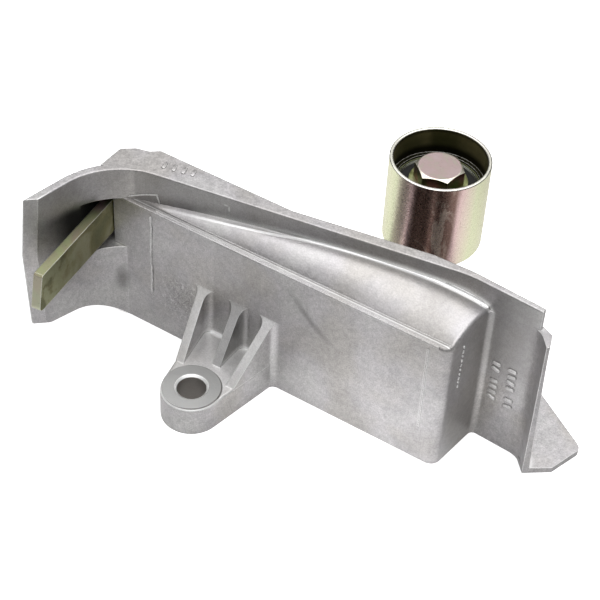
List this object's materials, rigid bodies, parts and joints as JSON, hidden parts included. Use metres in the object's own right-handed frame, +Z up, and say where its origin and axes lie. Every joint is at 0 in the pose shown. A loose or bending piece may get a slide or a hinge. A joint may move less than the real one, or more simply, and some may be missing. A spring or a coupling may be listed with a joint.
{
  "type": "timing belt tensioner",
  "caption": "Timing belt tensioner: cast aluminium belt guard and bracket with a mounting ear, a steel guide strip and a roller on a sealed ball bearing behind the wall.",
  "frame": {"origin": "axis of the mounting ear's hole, on the plane the casting stands on", "axes": "+X along the front wall of the box, +Y from the ear towards the roller, +Z up along the mounting hole"},
  "size_m": [0.1879, 0.1403, 0.069],
  "materials": {
    "cast_aluminium": "as cast, satin",
    "passivated_strip": "yellow passivated",
    "passivated_drum": "yellow passivated, polished",
    "passivated_bolt": "yellow passivated",
    "passivated_washer": "yellow passivated",
    "turned_steel": "turned",
    "bearing_steel": "ground",
    "seal_rubber": "moulded",
    "cage_plastic": "moulded"
  },
  "bodies": {
    "bracket": {"housing": "cast_aluminium", "guide_strip": "passivated_strip", "inner_ring": "bearing_steel", "centre_sleeve": "turned_steel", "washer": "passivated_washer", "roller_bolt": "passivated_bolt"},
    "roller": {"roller_drum": "passivated_drum", "outer_ring": "bearing_steel", "seal_upper": "seal_rubber", "seal_lower": "seal_rubber"},
    "upper_ball_row": {"cage_upper": "cage_plastic", "ball_upper_1": "bearing_steel", "ball_upper_2": "bearing_steel", "ball_upper_3": "bearing_steel", "ball_upper_4": "bearing_steel", "ball_upper_5": "bearing_steel", "ball_upper_6": "bearing_steel", "ball_upper_7": "bearing_steel", "ball_upper_8": "bearing_steel", "ball_upper_9": "bearing_steel"},
    "lower_ball_row": {"cage_lower": "cage_plastic", "ball_lower_1": "bearing_steel", "ball_lower_2": "bearing_steel", "ball_lower_3": "bearing_steel", "ball_lower_4": "bearing_steel", "ball_lower_5": "bearing_steel", "ball_lower_6": "bearing_steel", "ball_lower_7": "bearing_steel", "ball_lower_8": "bearing_steel", "ball_lower_9": "bearing_steel"}
  },
  "joints": [
    {"name": "roller_spin", "type": "hinge", "parent": "bracket", "child": "roller", "pos_m": [0.0371, 0.1, 0.0437], "axis": [0, 0, 1], "continuous": true},
    {"name": "upper_row_orbit", "type": "hinge", "parent": "bracket", "child": "upper_ball_row", "pos_m": [0.0371, 0.1, 0.0437], "axis": [0, 0, 1], "continuous": true},
    {"name": "lower_row_orbit", "type": "hinge", "parent": "bracket", "child": "lower_ball_row", "pos_m": [0.0371, 0.1, 0.0437], "axis": [0, 0, 1], "continuous": true}
  ],
  "couplings": [
    {"joint": "upper_row_orbit", "follows": "roller_spin", "ratio": 0.61111},
    {"joint": "lower_row_orbit", "follows": "roller_spin", "ratio": 0.61111}
  ]
}
